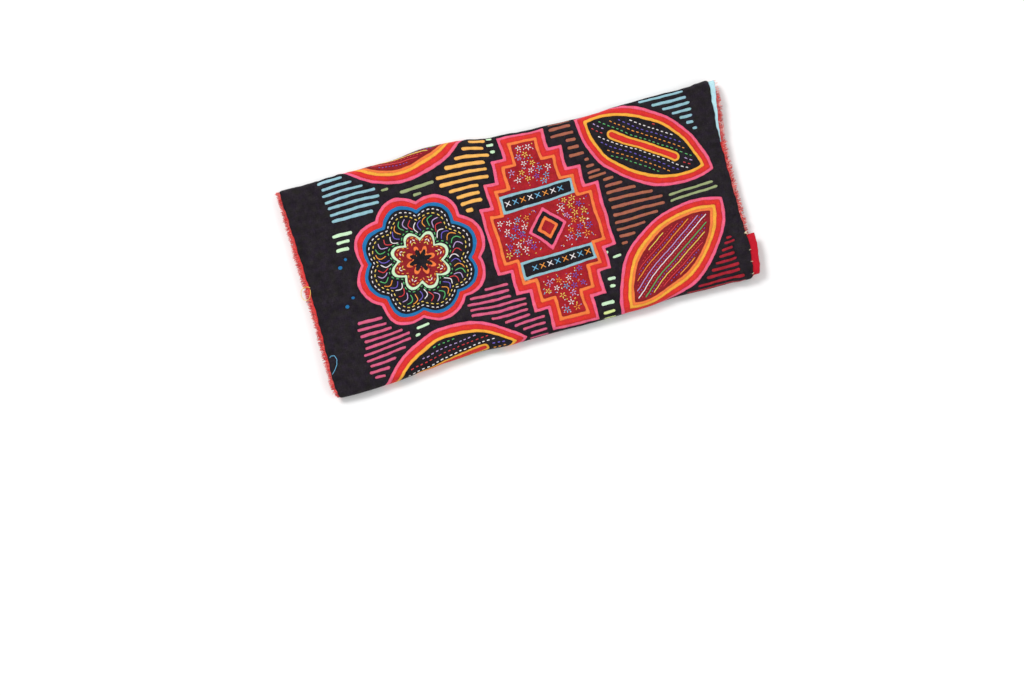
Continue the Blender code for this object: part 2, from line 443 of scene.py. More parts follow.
# colour, u from, u to, w from, w to, half width, pitch, turn, seed
BAR_ZONES = (
    ("light_blue", -148.0, -104.0, 47.0, 100.0, 1.25, 5.7, 0.0, 1),
    ("amber", -56.0, -8.0, 26.0, 98.0, 1.45, 6.2, 0.5, 2),
    ("olive", -102.0, -58.0, 46.0, 80.0, 1.1, 5.2, 0.0, 21),
    ("mint", -104.0, -66.0, -74.0, -48.0, 1.2, 5.6, 0.0, 22),
    ("mint", -6.0, 4.0, 60.0, 98.0, 1.3, 6.0, 1.0, 3),
    ("brown", 40.0, 84.0, 34.0, 98.0, 1.35, 6.3, 1.0, 4),
    ("light_blue", 100.0, 164.0, 36.0, 98.0, 1.3, 5.8, -0.5, 5),
    ("olive", 127.0, 165.0, -24.0, 30.0, 1.1, 5.2, 1.5, 6),
    ("brown", 66.0, 119.0, -34.0, 34.0, 1.35, 6.3, -1.0, 7),
    ("pink_bar", -148.0, -110.0, -84.0, -30.0, 1.15, 5.2, 0.0, 8),
    ("pink_bar", -60.0, 10.0, -98.0, -24.0, 1.15, 5.2, 0.0, 9),
    ("mint", 40.0, 88.0, -79.0, -38.0, 1.3, 6.0, 0.0, 10),
    ("lime", 40.0, 88.0, -98.0, -80.0, 1.3, 6.0, 2.0, 23),
    ("dark_red", 104.0, 164.0, -98.0, -28.0, 1.2, 5.0, 1.0, 11),
    ("mint", -148.0, -122.0, 24.0, 44.0, 1.2, 5.6, 0.0, 12),
    ("light_blue", -146.0, -4.0, 104.0, 150.0, 1.3, 5.8, 0.0, 13),
    ("amber", -30.0, 60.0, 150.0, 204.0, 1.4, 6.2, 0.0, 14),
    ("olive", 66.0, 162.0, 104.0, 204.0, 1.1, 5.4, 0.0, 15),
    ("brown", -146.0, -36.0, 172.0, 204.0, 1.3, 6.4, 0.0, 16),
    ("pink_bar", -146.0, -46.0, -152.0, -104.0, 1.2, 5.4, 0.0, 17),
    ("light_blue", 34.0, 160.0, -160.0, -104.0, 1.3, 5.8, 0.0, 18),
    ("amber", -146.0, -40.0, -216.0, -176.0, 1.4, 6.2, 0.0, 19),
    ("mint", 30.0, 160.0, -216.0, -186.0, 1.3, 6.0, 0.0, 20),
)
# colour, u, w, radius: dots beside the runs of bars
DOTS = (
    ("blue", -152.0, -20.0, 1.7),
    ("blue", -146.0, -14.0, 1.4),
    ("blue", -150.0, 14.0, 1.6),
    ("blue", -144.0, 19.0, 1.3),
    ("light_blue", 158.0, 40.0, 1.5),
    ("mint", -8.0, 22.0, 1.6),
    ("brown", 60.0, 28.0, 1.6),
    ("pink_bar", -48.0, -24.0, 1.5),
    ("mint", 62.0, -34.0, 1.6),
    ("dark_red", 163.0, -26.0, 1.4),
)
SHORTEST_BAR = 3.2
BAR_LOOK_STEP = 0.4
FIRST_BAR_SEED = 100
# How unevenly the bars are cut: least and most
BAR_START = (-2.0, 2.5)
BAR_END = (-2.5, 2.0)
BAR_WIDTH = (0.88, 1.08)
BAR_LEAN = (-0.8, 0.8)
BAR_SPACING = (0.96, 1.04)


def bar_rows(zone):
    """The bars of one zone, blunt where a motif ends them: middle, half sizes, turn."""
    _, u0, u1, w0, w1, half, pitch, turn, seed = zone
    draw = np.random.default_rng(FIRST_BAR_SEED + seed)
    rows = []
    w = w0 + pitch / 2
    while w < w1 - half:
        left = u0 + draw.uniform(*BAR_START)
        right = u1 + draw.uniform(*BAR_END)
        wide = half * draw.uniform(*BAR_WIDTH)
        lean = turn + draw.uniform(*BAR_LEAN)
        slope = math.tan(math.radians(lean))
        middle = (left + right) / 2
        place = np.arange(left, right, BAR_LOOK_STEP)
        free = motif_at(place, w + (place - middle) * slope) > MOTIF_CLEAR + wide
        edge = np.flatnonzero(np.diff(np.concatenate([[0], free.astype(int), [0]])))
        for first, last in zip(edge[::2], edge[1::2]):
            start = place[first]
            end = place[last - 1]
            if end - start > SHORTEST_BAR:
                at = (start + end) / 2
                rows.append((at, w + (at - middle) * slope, (end - start) / 2, wide, lean))
        w += pitch * draw.uniform(*BAR_SPACING)
    return rows


# Colours as seen in the photograph, in the numbers of a screen
SCREEN_COLOURS = {
    "black": (35, 30, 36),
    "black_core": (33, 29, 34),
    "pink": (250, 103, 139),
    "orange_red": (221, 47, 43),
    "yellow": (255, 180, 65),
    "blue": (34, 118, 178),
    "orange": (254, 131, 67),
    "crimson": (165, 25, 36),
    "amber": (255, 189, 98),
    "mint": (214, 248, 208),
    "lime": (228, 246, 158),
    "light_blue": (153, 199, 212),
    "olive": (164, 177, 127),
    "brown": (178, 105, 83),
    "pink_bar": (224, 99, 136),
    "dark_red": (174, 33, 50),
    "lining": (226, 62, 61),
    "blue_patch": (186, 228, 237),
    "red_patch": (195, 16, 39),
    "wine": (140, 25, 35),
    "thread_cream": (238, 216, 180),
    "thread_white": (255, 248, 248),
    "thread_green": (84, 190, 104),
    "thread_orange": (255, 160, 44),
    "thread_purple": (108, 86, 200),
    "thread_lilac": (200, 168, 226),
    "thread_red": (226, 40, 52),
    "thread_salmon": (250, 116, 108),
    "thread_deep": (150, 22, 34),
    "thread_blush": (255, 196, 190),
    "thread_blue": (110, 190, 232),
    "thread_yellow": (255, 222, 96),
}


def linear(value):
    """A number of a screen as light."""
    c = value / 255.0
    return c / 12.92 if c <= 0.04045 else ((c + 0.055) / 1.055) ** 2.4


COLOURS = {name: tuple(map(linear, screen)) for name, screen in SCREEN_COLOURS.items()}

CLOTH_SHADER = {
    "Roughness": 0.92,
    "Sheen Roughness": 0.55,
    "Sheen Tint": (1.0, 0.97, 0.97, 1.0),
    "Specular IOR Level": 0.06,
}
THREAD_SHADER = {"Roughness": 0.62, "Sheen Weight": 0.3, "Sheen Roughness": 0.4}
# Noises: scale, detail and, where drawn out, the stretch along and across
FADE_NOISE = (0.14, 5.0)
DRIFT_NOISE = (0.2, 3.0)
WARP_SLUBS = (0.9, 3.0, (0.25, 2.2))
WEFT_SLUBS = (0.9, 3.0, (2.2, 0.25))
SLUB_HEIGHT = 0.9
CLOTH_BUMP = 0.55
# Painted shade of the weave: share of light left at the bottom of the weave, and what its top adds
WEAVE_DARK = 0.86
WEAVE_LIGHT = 0.22
# Painted shade near each region's edges: share of the colour taken away there
EDGE_SHADE = 0.24
# How the drifting dye moves green and blue
DRIFT_WAYS = (-3.0, 5.0)
PLY_WAVE = {"Scale": 1.1, "Distortion": 0.6}
PLY_BUMP = 0.6
PLY_DEPTH = 0.2
# Painted shade in the ply's grooves: share of the colour left there
PLY_DARK = 0.84


def settle(node, values):
    """Set inputs of a node by their names."""
    for name, value in values.items():
        node.inputs[name].default_value = value


def start_look(name, values):
    """A material, its tree, its shader with these values, and the flat places."""
    look = bpy.data.materials.new(name)
    look.use_nodes = True
    tree = look.node_tree
    shader = tree.nodes["Principled BSDF"]
    settle(shader, values)
    places = tree.nodes.new("ShaderNodeUVMap")
    places.uv_map = "flat"
    return look, tree, shader, places.outputs["UV"]


def add_bump(tree, shader, height, strength, depth):
    """Raise the shader's surface by a height; the depth is in mm."""
    bump = tree.nodes.new("ShaderNodeBump")
    settle(bump, {"Strength": strength, "Distance": depth * MM})
    tree.links.new(height, bump.inputs["Height"])
    tree.links.new(bump.outputs[0], shader.inputs["Normal"])


def colour_mix(tree, shader, blend, values):
    """A mix of two colours that goes to the shader."""
    mix = tree.nodes.new("ShaderNodeMix")
    mix.data_type = "RGBA"
    mix.blend_type = blend
    settle(mix, values)
    tree.links.new(mix.outputs["Result"], shader.inputs["Base Color"])
    return mix


def cloth_look(name, colour, pitch=0.62, depth=0.4, sheen=0.14, fade=0.3, slubby=0.4, drift=0.05):
    """A plain weave: crossing threads in the bump, uneven dye and worn patches, and painted shade in the
    weave's hollows and near each region's edges.
    """
    look, tree, shader, places = start_look(name, CLOTH_SHADER)
    split = tree.nodes.new("ShaderNodeSeparateXYZ")
    tree.links.new(places, split.inputs[0])

    def math_node(kind, *values):
        node = tree.nodes.new("ShaderNodeMath")
        node.operation = kind
        for socket, value in zip(node.inputs, values):
            if isinstance(value, float):
                socket.default_value = value
            else:
                tree.links.new(value, socket)
        return node.outputs[0]

    def times(a, b):
        return math_node("MULTIPLY", a, b)

    def plus(a, b):
        return math_node("ADD", a, b)

    def noise(scale, detail, stretch=(1.0, 1.0)):
        drawn_out = tree.nodes.new("ShaderNodeMapping")
        settle(drawn_out, {"Scale": (*stretch, 1.0)})
        tree.links.new(places, drawn_out.inputs["Vector"])
        node = tree.nodes.new("ShaderNodeTexNoise")
        settle(node, {"Scale": scale, "Detail": detail})
        tree.links.new(drawn_out.outputs[0], node.inputs["Vector"])
        return node.outputs["Fac"]

    per_thread = math.pi / pitch
    warp = math_node("SINE", times(split.outputs[0], per_thread))
    weft = math_node("SINE", times(split.outputs[1], per_thread))
    over = math_node("GREATER_THAN", times(warp, weft), 0.0)
    up = times(math_node("ABSOLUTE", warp), over)
    cross = times(math_node("ABSOLUTE", weft), math_node("SUBTRACT", 1.0, over))
    weave = plus(up, cross)
    slub = plus(noise(*WARP_SLUBS), noise(*WEFT_SLUBS))
    add_bump(tree, shader, plus(weave, times(slub, SLUB_HEIGHT)), CLOTH_BUMP, depth)

    shade = plus(times(noise(*FADE_NOISE), fade), 1.0 - fade / 2)
    # Painted shade: the weave's hollows are darker and its tops lighter
    thread = plus(times(weave, WEAVE_LIGHT), WEAVE_DARK)
    slubs = plus(times(slub, slubby), 1.0 - slubby)
    # Painted shade: the colour darkens near each region's edges
    edge = tree.nodes.new("ShaderNodeAttribute")
    edge.attribute_name = "painted_edge_shade"
    kept = math_node("SUBTRACT", 1.0, times(edge.outputs["Fac"], EDGE_SHADE))
    tone = times(times(shade, thread), times(slubs, kept))
    tree.links.new(times(tone, sheen), shader.inputs["Sheen Weight"])
    grey = tree.nodes.new("ShaderNodeCombineColor")
    tree.links.new(tone, grey.inputs[0])
    wander = math_node("SUBTRACT", noise(*DRIFT_NOISE), 0.5)
    for socket, way in zip(grey.inputs[1:3], DRIFT_WAYS):
        tree.links.new(times(tone, plus(times(wander, way * drift), 1.0)), socket)
    mix = colour_mix(tree, shader, "MULTIPLY", {"Factor": 1.0, "A": (*colour, 1.0)})
    tree.links.new(grey.outputs[0], mix.inputs["B"])
    return look


def thread_look(name, colour):
    """Twisted cotton: a slanting ply in the bump with painted shade in its grooves, and a soft shine."""
    look, tree, shader, places = start_look(name, THREAD_SHADER)
    wave = tree.nodes.new("ShaderNodeTexWave")
    wave.wave_type = "BANDS"
    wave.bands_direction = "DIAGONAL"
    settle(wave, PLY_WAVE)
    tree.links.new(places, wave.inputs["Vector"])
    add_bump(tree, shader, wave.outputs["Fac"], PLY_BUMP, PLY_DEPTH)
    # Painted shade: a darker copy of the colour lies in the ply's grooves
    painted_groove_shade = tuple(c * PLY_DARK for c in colour)
    mix = colour_mix(tree, shader, "MIX", {"A": (*painted_groove_shade, 1.0), "B": (*colour, 1.0)})
    tree.links.new(wave.outputs["Fac"], mix.inputs["Factor"])
    return look


# What sets some cloths apart from the plain look
BACKING = {"pitch": 0.8, "depth": 0.5, "fade": 0.2}
BLACK = {"sheen": 0.06, "fade": 1.4, "slubby": 1.3, "drift": 0.2}
DEEP_RED = {"fade": 0.8, "slubby": 0.8, "drift": 0.36}
BAND = {"fade": 0.4, "slubby": 0.5, "drift": 0.12}
CLOTH_KINDS = {
    "lining": BACKING,
    "blue_patch": BACKING,
    "red_patch": BACKING,
    "black": BLACK,
    "black_core": BLACK,
    "crimson": DEEP_RED,
    "wine": DEEP_RED,
    "dark_red": DEEP_RED,
    "orange_red": {**BAND, "drift": 0.3},
    "pink": BAND,
    "pink_bar": BAND,
    "brown": BAND,
}
LOOKS = {}


def look_for(name):
    """The material of one colour, made once."""
    if name not in LOOKS:
        if name.startswith("thread"):
            LOOKS[name] = thread_look(name, COLOURS[name])
        else:
            LOOKS[name] = cloth_look(name, COLOURS[name], **CLOTH_KINDS.get(name, {}))
    return LOOKS[name]


# Meshes
def add_object(name, data):
    """An object in the scene."""
    thing = bpy.data.objects.new(name, data)
    bpy.context.scene.collection.objects.link(thing)
    return thing


def mesh_object(name, points, faces, flat, look):
    """An object from points in mm, a list of face arrays, and flat places for UV."""
    mesh = bpy.data.meshes.new(name)
    loops = np.concatenate([f.reshape(-1) for f in faces]).astype(np.int32)
    sizes = np.concatenate([np.full(len(f), f.shape[1]) for f in faces]).astype(np.int32)
    starts = np.concatenate([[0], np.cumsum(sizes)[:-1]]).astype(np.int32)
    mesh.vertices.add(len(points))
    mesh.vertices.foreach_set("co", (points * MM).astype(np.float32).ravel())
    mesh.loops.add(len(loops))
    mesh.loops.foreach_set("vertex_index", loops)
    mesh.polygons.add(len(sizes))
    mesh.polygons.foreach_set("loop_start", starts)
    mesh.polygons.foreach_set("loop_total", sizes)
    mesh.polygons.foreach_set("use_smooth", np.ones(len(sizes), dtype=bool))
    mesh.update(calc_edges=True)
    layer = mesh.uv_layers.new(name="flat")
    layer.data.foreach_set("uv", flat[loops].astype(np.float32).ravel())
    mesh.materials.append(look)
    mesh.validate()
    thing = add_object(name, mesh)
    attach(thing, "root")
    return thing


def tube_faces(rings, sides):
    """Faces along and round a tube with that many rings of points."""
    first = np.arange(rings - 1)[:, None] * sides
    side = np.arange(sides)[None]
    a = first + side
    b = first + (side + 1) % sides
    return np.stack([a, b, b + sides, a + sides], axis=-1).reshape(-1, 4)


def join_tubes(name, tubes, sides, look):
    """One object from tubes, each its points and their flat places."""
    faces = []
    start = 0
    for points, _ in tubes:
        faces.append(tube_faces(len(points) // sides, sides) + start)
        start += len(points)
    points = np.concatenate([tube[0] for tube in tubes])
    flat = np.concatenate([tube[1] for tube in tubes])
    return mesh_object(name, points, [np.concatenate(faces)], flat, look)


# Shapes that fill a grid cell, by which of its corners are inside:
# 1 is (i, j), 2 is (i+1, j), 4 is (i+1, j+1), 8 is (i, j+1)
# c0 to c3 are those corners; e0 to e3 are the crossings on the edges that follow them
FILLS = {
    1: ("c0 e0 e3",),
    2: ("c1 e1 e0",),
    3: ("c0 c1 e1 e3",),
    4: ("c2 e2 e1",),
    5: ("c0 e0 e1 c2 e2 e3",),
    6: ("c1 c2 e2 e0",),
    7: ("c0 c1 c2 e2 e3",),
    8: ("c3 e3 e2",),
    9: ("c0 e0 e2 c3",),
    10: ("c1 e1 e0", "c3 e3 e2"),
    11: ("c0 c1 e1 e2 c3",),
    12: ("c2 c3 e3 e1",),
    13: ("c0 e0 e1 c2 c3",),
    14: ("c1 c2 c3 e3 e0",),
    15: ("c0 c1 c2 c3",),
}


def cell_corners(number):
    """The four corners of each grid cell, in order."""
    return number[:-1, :-1], number[1:, :-1], number[1:, 1:], number[:-1, 1:]


def fill(field):
    """Faces where the field is negative.

    Returns faces as arrays of vertex numbers, with for each vertex the two grid
    corners that it lies between and its share of the way.
    """
    code = sum(part * 2 ** bit for bit, part in enumerate(cell_corners(field < 0.0)))
    corner = cell_corners(np.arange(field.size).reshape(field.shape))
    groups = []
    for case, shapes in FILLS.items():
        picked = code == case
        c = [part[picked] for part in corner]
        for shape in shapes if picked.any() else ():
            ring = []
            for kind, number in shape.split():
                k = int(number)
                a = c[k]
                b = c[k] if kind == "c" else c[(k + 1) % 4]
                ring.append(np.minimum(a, b) * field.size + np.maximum(a, b))
            groups.append(np.stack(ring, axis=1))
    used, places = np.unique(np.concatenate([group.ravel() for group in groups]), return_inverse=True)
    faces = {}
    ends = np.cumsum([group.size for group in groups])[:-1]
    for group, part in zip(groups, np.split(places, ends)):
        faces.setdefault(group.shape[1], []).append(part.reshape(group.shape))
    first = used // field.size
    second = used % field.size
    values = field.ravel()
    gap = values[first] - values[second]
    share = np.where(first == second, 0.0, values[first] / np.where(gap == 0.0, 1.0, gap))
    return [np.concatenate(rings) for rings in faces.values()], first, second, np.clip(share, 0.0, 1.0)


# The flat grid
FRONT_STEP = 1.15
FLAP_STEP = 1.5
FOLD_STEPS = 24
U_LOW, U_HIGH = -186.0, 190.0


def spaced(low, high, step):
    return np.linspace(low, high, max(2, int(round((high - low) / step)) + 1))


def grid_lines():
    fold_end = FOLD_START + FACE_FOLD_LENGTH
    fold = np.linspace(FOLD_START, fold_end, FOLD_STEPS + 1)
    rows = [
        -spaced(fold_end, NEAR_W, FLAP_STEP)[::-1],
        -fold[::-1],
        spaced(-FOLD_START, FOLD_START, FRONT_STEP),
        fold,
        spaced(fold_end, FAR_W, FLAP_STEP),
    ]
    w = np.unique(np.round(np.concatenate(rows), 5))
    return spaced(U_LOW, U_HIGH, FRONT_STEP), w


LINES_U, LINES_W = grid_lines()
U, W = np.meshgrid(LINES_U, LINES_W, indexing="ij")
V = v_of_w(W)

# reach in mm, wave number, how the phase counts
END_WAVES = ((0.28, 0.31, 1.0), (0.16, 0.83, 2.0))
LEFT_PHASE = 0.6
RIGHT_PHASE = 2.1


def end_wave(w, phase):
    """The cut ends are not quite even."""
    return sum(reach * np.sin(w * wave + part * phase) for reach, wave, part in END_WAVES)


# Where each grid place lies in the drawing
DU = U + waves(HAND_U, U, W)
DW = W + waves(HAND_W, U, W)
CLOTH = np.maximum(
    column(CLOTH_ENDS, V, 1) + end_wave(W, LEFT_PHASE) - U,
    U - column(CLOTH_ENDS, V, 2) - end_wave(W, RIGHT_PHASE),
)

leaf_fields = [leaf(DU, DW, row) for row in LEAVES]
rosette_fields = [rosette(DU, DW, row) for row in ROSETTES]
LEAF = np.minimum.reduce(leaf_fields)
ROSETTE = np.minimum.reduce(rosette_fields)
STEP = np.minimum.reduce([stepped(DU, DW, row) for row in STEPPED])
MOTIF = np.minimum.reduce([LEAF, ROSETTE, STEP])

# Details inside the motifs; strips are centre u and w, half width, turn
CROSS_STRIPS = ((22.0, 28.6, 5.2, 2.0), (22.0, -30.4, 5.2, 2.0))
STRIP_LONG = 90.0
STRIP_EDGE = 2.1
STRIP_INSET = 2.0


def strips(wider, within):
    """The slanting strips across a stepped diamond, widened, inside a field."""
    parts = []
    for at_u, at_w, half, turn in CROSS_STRIPS:
        parts.append(np.maximum(box(DU, DW, at_u, at_w, STRIP_LONG, half + wider, turn), within))
    return np.minimum.reduce(parts)


STRIP_CORE = strips(0.0, STEP + STRIP_INSET)
STRIP_RIM = strips(STRIP_EDGE, STEP)

# The rosette's rings: distance inside its petals' outline, half width
HEART_IN = 21.6
HEART_HALF = 1.25
BUD_IN = 34.0
BUD_HALF = 1.35

# Leaves with crimson inside have laid threads, the black ones rows of stitches and a slit
STRIPED_LEAF = np.minimum.reduce([f for f, row in zip(leaf_fields, LEAVES) if row[6]])
LEAF_RIM = 2.2
VEIN_SHARE = 0.55
VEIN_HALF = 2.2
VEIN_EDGE = 1.8
vein_fields = []
for row in LEAVES:
    if not row[6]:
        half = leaf_frame(row)[-1]
        s, t = in_leaf(DU, DW, row)
        off = t - middle_line(row, np.clip(s, -half, half))
        past = np.maximum(np.abs(s) - half * VEIN_SHARE, 0.0)
        vein_fields.append(np.hypot(off, past) - VEIN_HALF)
VEIN = np.minimum.reduce(vein_fields)
VEIN_RIM = VEIN - VEIN_EDGE

DIAMOND_FLAT = 0.8
DIAMOND_SLANT = 0.75
DIAMOND_OUT = 15.6
DIAMOND_BLACK = 12.6
DIAMOND_RING = 8.4
DIAMOND_CORE = 5.4


def diamonds(reach):
    """Upright diamonds at the middle of each stepped motif."""
    across = [np.abs(DU - row[0]) + np.abs(DW - row[1]) * DIAMOND_FLAT for row in STEPPED]
    return (np.minimum.reduce(across) - reach) * DIAMOND_SLANT


BAR_ROUND = 0.8
bar_fields = {}
for zone in BAR_ZONES:
    for at_u, at_w, half_u, half_w, turn in bar_rows(zone):
        bar = box(DU, DW, at_u, at_w, half_u, half_w, turn, BAR_ROUND * half_w)
        bar_fields[zone[0]] = np.minimum(bar_fields.get(zone[0], bar), bar)
for colour, at_u, at_w, radius in DOTS:
    dot = np.hypot(DU - at_u, DW - at_w) - radius
    bar_fields[colour] = np.minimum(bar_fields.get(colour, dot), dot)

BAR_HEIGHT = -0.72
EVERYWHERE = -50.0
# name, colour, height over the CAD face, where it lies; later rows lie over earlier ones
REGIONS = [
    ("ground", "black", -0.22, np.full_like(U, EVERYWHERE)),
    *(("bars_" + colour, colour, BAR_HEIGHT, bars) for colour, bars in bar_fields.items()),
    ("band_pink", "pink", -0.62, MOTIF - PINK_OUT),
    ("band_orange_red", "orange_red", -0.36, MOTIF - ORANGE_RED_OUT),
    ("band_yellow", "yellow", -0.12, LEAF - INNER_OUT),
    ("band_blue", "blue", -0.13, ROSETTE - BLUE_OUT),
    ("band_orange", "orange", -0.14, STEP - INNER_OUT),
    ("leaf_core", "black_core", 0.0, LEAF),
    ("leaf_rim", "orange", 0.02, STRIPED_LEAF),
    ("leaf_striped", "wine", 0.04, STRIPED_LEAF + LEAF_RIM),
    ("rosette_core", "black_core", -0.01, ROSETTE),
    ("step_core", "crimson", -0.02, STEP),
    ("strip_rim", "light_blue", -0.1, STRIP_RIM),
    ("strip_core", "black_core", 0.01, STRIP_CORE),
    ("heart_ring", "mint", -0.28, np.abs(ROSETTE + HEART_IN) - HEART_HALF),
    ("heart_core", "wine", 0.02, ROSETTE + HEART_IN + HEART_HALF),
    ("bud_ring", "orange", 0.06, np.abs(ROSETTE + BUD_IN) - BUD_HALF),
    ("bud_core", "black_core", -0.05, ROSETTE + BUD_IN + BUD_HALF),
    ("vein_rim", "yellow", -0.12, VEIN_RIM),
    ("vein", "orange_red", -0.34, VEIN),
    ("diamond_rim", "pink", 0.04, diamonds(DIAMOND_OUT)),
    ("diamond_black", "black_core", 0.07, diamonds(DIAMOND_BLACK)),
    ("diamond_ring", "orange", 0.05, diamonds(DIAMOND_RING)),
    ("diamond_core", "crimson", 0.08, diamonds(DIAMOND_CORE)),
]
UNDER = 0.7
TUCK = 0.16
EDGE_ROUND = 0.7
SKIN_DROP = -1.0
FAR_OFF = 1e9


def visible_fields():
    """Where each region shows: its own place without what lies over it."""
    shown = []
    above = np.full_like(U, FAR_OFF)
    for _, _, _, field in reversed(REGIONS):
        shown.append(np.maximum(np.maximum(field, -above), CLOTH))
        above = np.minimum(above, field)
    return shown[::-1]


SHOWN = visible_fields()


def rounded(low, high, inside):
    """A height that goes from low at an edge to high well inside it."""
    return low + (high - low) * (1.0 - np.exp(-np.maximum(inside, 0.0) / EDGE_ROUND))


def build_region(index, name, colour, height):
    """A layer of cloth: it turns down to what lies lower and reaches under what lies higher."""
    own = SHOWN[index]
    order = [(row[2], k) for k, row in enumerate(REGIONS)]
    lower = [(order[k][0], SHOWN[k]) for k in range(len(REGIONS)) if order[k] < order[index]]
    low = np.minimum.reduce([field for _, field in lower] + [np.full_like(U, FAR_OFF)])
    faces, first, second, share = fill(np.maximum(np.maximum(own - UNDER, -low), CLOTH))

    def read(grid):
        values = grid.ravel()
        return values[first] + share * (values[second] - values[first])

    top = np.full(first.shape, height)
    for low_height, low_field in lower:
        top = np.minimum(top, rounded(low_height, height, read(low_field)))
    top = np.minimum(top, rounded(SKIN_DROP, height, -read(CLOTH)))
    inside = -read(own)
    top = top - TUCK * np.maximum(-inside, 0.0) / UNDER
    u = read(U)
    w = read(W)
    piece = mesh_object(name, face_points(u, w, top), faces, pairs(u, w), look_for(colour))
    # Painted shade: how much the colour darkens near each region's edges, where the layers meet; the cloth
    # material reads this
    turned = np.exp(-np.maximum(inside, 0.0) / EDGE_ROUND)
    layer = piece.data.attributes.new("painted_edge_shade", "FLOAT", "POINT")
    layer.data.foreach_set("value", turned.astype(np.float32))
    return piece


regions = [build_region(index, *row[:3]) for index, row in enumerate(REGIONS)]


# Sheets under the design
def sheet_mesh(name, u, v, offset, thick, look, flat_w):
    corners = cell_corners(np.arange(u.size).reshape(u.shape))
    quads = np.stack(corners, axis=-1).reshape(-1, 4)
    points = surface(u.ravel(), v.ravel(), offset.ravel())
    thing = mesh_object(name, points, [quads], pairs(u.ravel(), flat_w.ravel()), look)
    solid = thing.modifiers.new("thickness", "SOLIDIFY")
    solid.thickness = thick * MM
    solid.offset = 0.0
    solid.use_even_offset = True
    return thing


# How much of the lining's margin is loose threads, and the least share that is still cloth
FRAYED = 1.2
LEAST_WOVEN = 0.4


def woven(margin):
    """The part of the lining's margin that is still cloth and not loose threads."""
    return np.maximum(margin - FRAYED, LEAST_WOVEN * margin)


# The lining is worn back by this much at the top of its right end.
WORN_BACK = 2.0
WORN_FROM = 73.0
WORN_OVER = 8.0


def worn_top(v):
    """How much of the wear at the top of the right end is at one place."""
    return smooth((v - WORN_FROM) / WORN_OVER)


SHEET_COLUMNS = 120
BACK_INSET = 0.6
# How the lining's ends wave: times as fast as the face's, phase
LEFT_WAVE = (1.7, 4.0)
RIGHT_WAVE = (1.9, 1.0)


def full_sheet(name, offset_of, thick, look, out):
    """A sheet over the whole section; out is how much of the lining's margin it has."""
    w = LINES_W[::2] if len(LINES_W) % 2 else np.append(LINES_W[::2], LINES_W[-1])
    v = v_of_w(w)
    left = column(CLOTH_ENDS, v, 1) - out * woven(column(CLOTH_ENDS, v, 3))
    margin = column(CLOTH_ENDS, v, 4) - WORN_BACK * worn_top(v)
    right = column(CLOTH_ENDS, v, 2) + out * woven(margin)
    left = left + (end_wave(w * LEFT_WAVE[0], LEFT_WAVE[1]) if out else BACK_INSET)
    right = right - (end_wave(w * RIGHT_WAVE[0], RIGHT_WAVE[1]) if out else BACK_INSET)
    share = np.linspace(0.0, 1.0, SHEET_COLUMNS)
    u = left[None, :] + share[:, None] * (right - left)[None, :]
    v = np.broadcast_to(v, u.shape)
    w = np.broadcast_to(w, u.shape)
    return sheet_mesh(name, u, v, offset_of(u, v), thick, look, w)


BACK_THICK = 0.2
BACK_DROP = 1.34
face_back = full_sheet(
    "face_cloth_back",
    lambda u, v: OUTSIDE + patch_lift(u, v) - BACK_DROP,
    BACK_THICK,
    look_for("black"),
    0.0,
)
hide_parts("face_cloth")

LINING_SHOWN = 0.7
LINING_RISE = 0.1
lining = full_sheet(
    "lining_cloth", lambda u, v: np.full_like(u, LINING_RISE), LINING_SHOWN, look_for("lining"), 1.0
)
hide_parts("lining")

PATCH_SHOWN = 0.6
PATCH_COLUMNS = 60
PATCH_ROWS = 15
# How a patch's free end waves: times as fast as the face's, phase, times as far
PATCH_WAVE = (1.3, 3.0, 0.6)


def patch_sheet(row):
    name, v_from, v_to, under, out_from, out_to = row
    v = np.linspace(v_from, v_to, PATCH_COLUMNS)
    fast, phase, far = PATCH_WAVE
    end = column(CLOTH_ENDS, v, 2)
    out = np.interp(v, (v_from, v_to), (out_from, out_to)) + end_wave(v * fast, phase) * far
    share = np.linspace(-1.0, 1.0, PATCH_ROWS)
    u = np.stack([end + (k * under if k < 0 else k * out) for k in share])
    v = np.broadcast_to(v, u.shape)
    offset = np.full_like(u, PATCH_OFFSET)
    return sheet_mesh(name + "_cloth", u, v, offset, PATCH_SHOWN, look_for(name), v)


for row in PATCHES:
    piece = patch_sheet(row)
    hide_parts(row[0])


# Stitches and laid threads
SIDES = 5
TINY = 1e-6
# share along the half length, share of the radius, height in radii
STITCH_RINGS = (
    (-1.0, 0.35, -1.1),
    (-0.72, 0.9, 0.15),
    (0.0, 1.0, 0.42),
    (0.72, 0.9, 0.15),
    (1.0, 0.35, -1.1),
)
ROUND_ANGLES = np.arange(SIDES) * 2.0 * math.pi / SIDES + math.pi / 2
STITCH_HEIGHT = 0.06
LAID_HEIGHT = 0.04
FINE_RADIUS = 0.42
# Shares of a laid thread's radius: its tips, its height, how far its tips dip
LAID_TIP = 0.4
LAID_LIFT = 0.4
LAID_DIP = 1.2


def stitch_mesh(name, rows, look, top):
    """Joined stitches; each row is centre u and w, direction, length and radius."""
    u, w, turn, length, radius = np.array(rows).T[:, :, None, None]
    along, wide, high = np.array(STITCH_RINGS).T[:, None, :, None]
    side = wide * radius * np.cos(ROUND_ANGLES)
    lift = (wide * np.sin(ROUND_ANGLES) + high) * radius
    along = along * length / 2
    pu = (u + along * np.cos(turn) - side * np.sin(turn)).ravel()
    pw = (w + along * np.sin(turn) + side * np.cos(turn)).ravel()
    points = face_points(pu, pw, top + lift.ravel())
    per = len(STITCH_RINGS) * SIDES
    quads = tube_faces(len(STITCH_RINGS), SIDES) + (np.arange(len(rows)) * per)[:, None, None]
    return mesh_object(name, points, [quads.reshape(-1, 4)], pairs(pu, pw), look)


def unit(rows):
    """Each row at length 1."""
    return rows / np.maximum(np.linalg.norm(rows, axis=1, keepdims=True), TINY)


